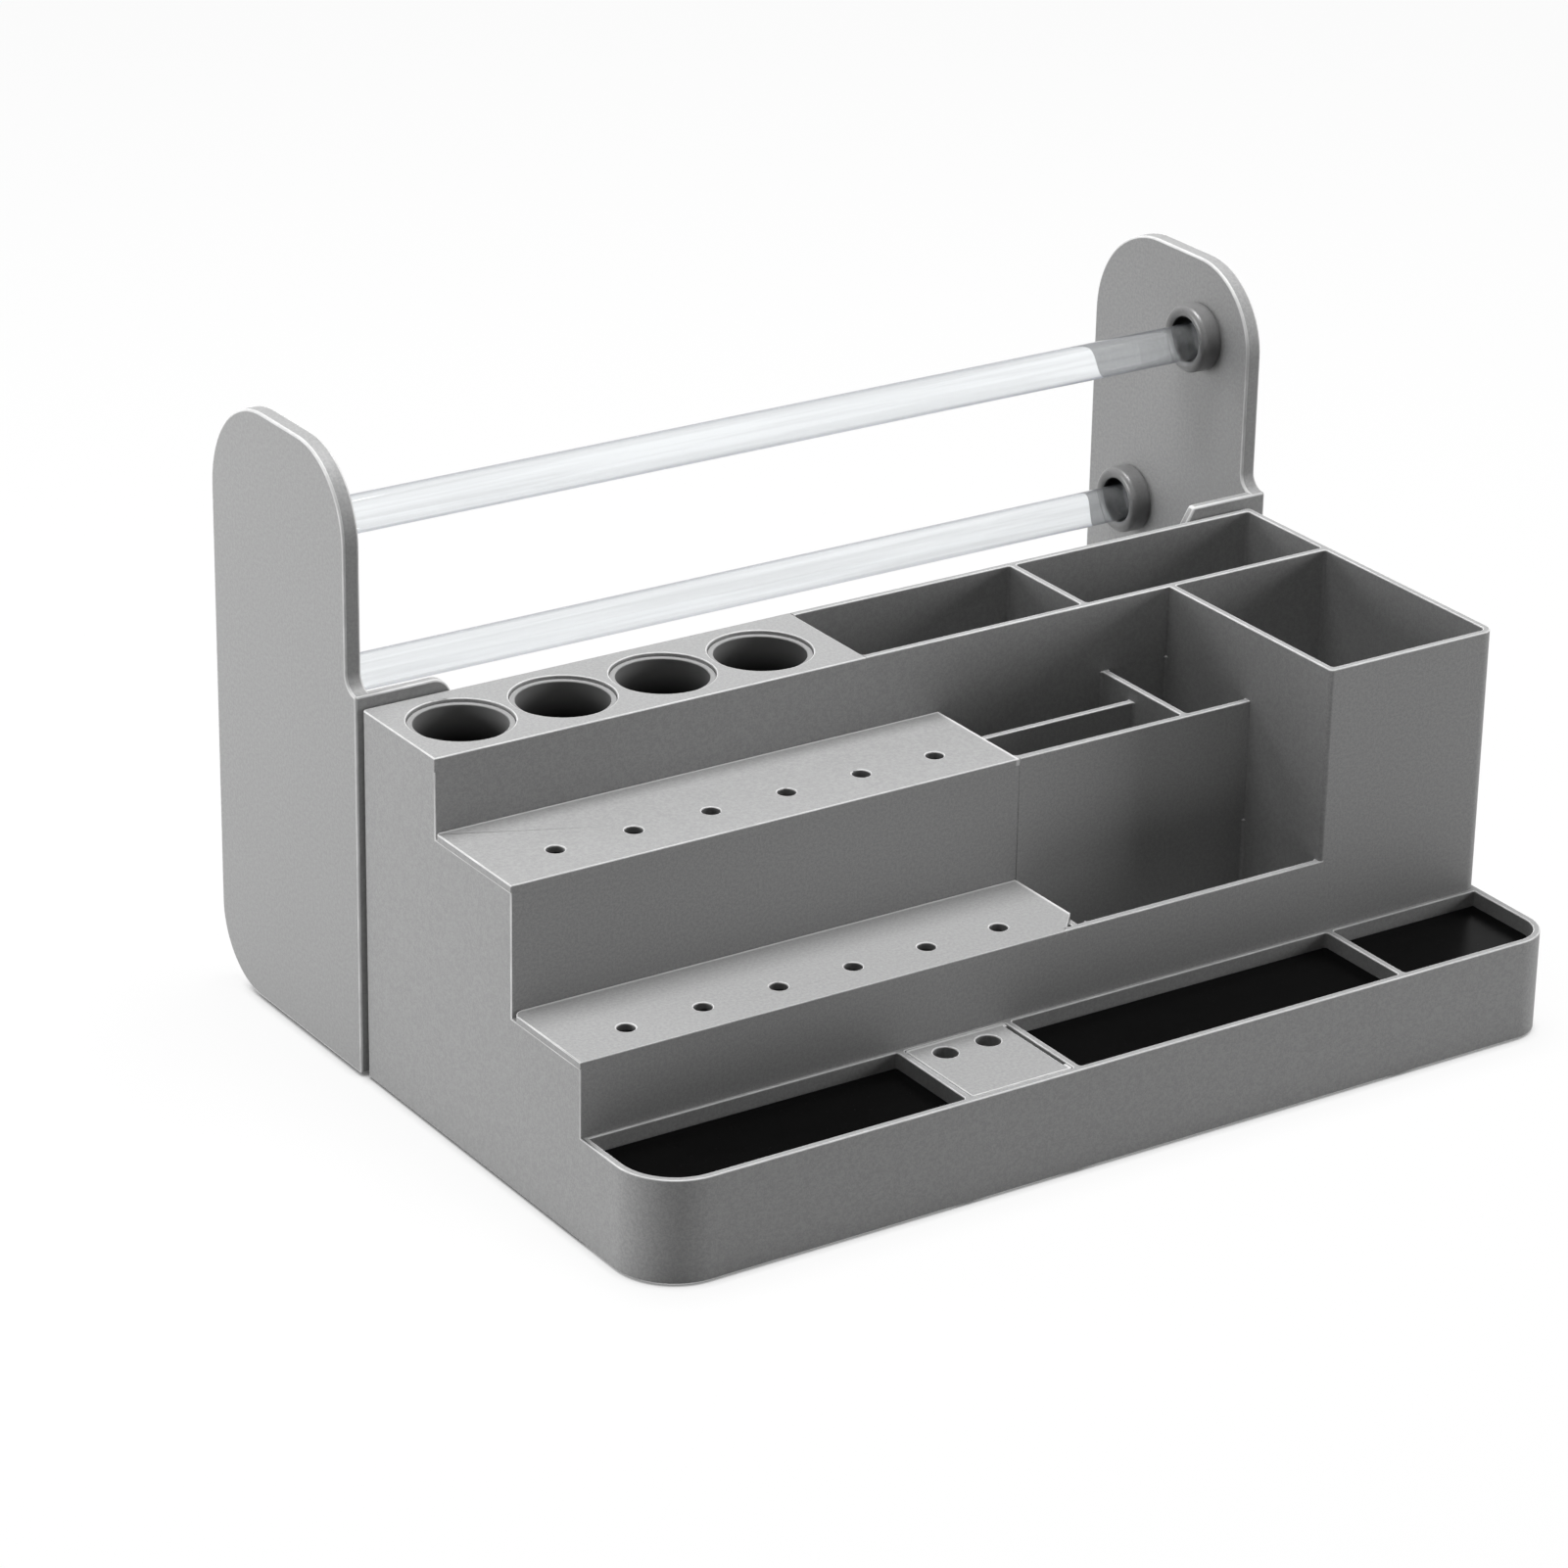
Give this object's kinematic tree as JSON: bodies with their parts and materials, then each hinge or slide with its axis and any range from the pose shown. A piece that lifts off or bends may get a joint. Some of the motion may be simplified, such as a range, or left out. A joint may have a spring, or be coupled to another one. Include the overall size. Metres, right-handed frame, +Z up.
{
  "type": "screwdriver holder",
  "caption": "Stepped bench screwdriver holder with driver holes, tool compartments and a front tray, and a lift-off reel stand with two clear rods behind it.",
  "frame": {"origin": "middle of the whole footprint, organiser and stand together, on the bench", "axes": "+X to the right as seen from the front, -Y towards the front tray, +Z up"},
  "size_m": [0.31, 0.231, 0.18],
  "materials": {
    "body": "fine spark-eroded grain, matte",
    "frame": "fine spark-eroded grain, matte",
    "rack": "fine grain, matte",
    "cup": "smooth, satin",
    "pad": "polished",
    "rubber": "matte",
    "collar": "satin",
    "rod": "clear, polished",
    "screw": "zinc plated"
  },
  "bodies": {
    "organizer": {"housing": "body", "cup_deck": "rack", "upper_rack_plate": "rack", "lower_rack_plate": "rack", "driver_cup_1": "cup", "driver_cup_2": "cup", "driver_cup_3": "cup", "driver_cup_4": "cup", "tray_pad_left": "pad", "tray_pad_middle": "pad", "tray_pad_right": "pad", "housing_feet": "rubber"},
    "bit_holder": {"bit_plate": "rack"},
    "reel_stand": {"end_frame_left": "frame", "end_frame_right": "frame", "reel_tray": "frame", "stand_screws": "screw", "stand_feet": "rubber", "upper_left_collar": "collar", "upper_right_collar": "collar", "lower_left_collar": "collar", "lower_right_collar": "collar"},
    "high_rod": {"upper_rod": "rod"},
    "low_rod": {"lower_rod": "rod"}
  },
  "joints": [
    {"name": "bit_plate_lift", "type": "slide", "parent": "organizer", "child": "bit_holder", "axis": [0, 0, 1], "range_m": [0, 0.04]},
    {"name": "stand_lift", "type": "slide", "parent": "organizer", "child": "reel_stand", "axis": [0, 0, 1], "range_m": [0, 0.08]},
    {"name": "upper_rod_turn", "type": "hinge", "parent": "reel_stand", "child": "high_rod", "pos_m": [0, 0.063, 0.15505], "axis": [1, 0, 0], "continuous": true},
    {"name": "lower_rod_turn", "type": "hinge", "parent": "reel_stand", "child": "low_rod", "pos_m": [0, 0.0935, 0.09405], "axis": [1, 0, 0], "continuous": true}
  ]
}
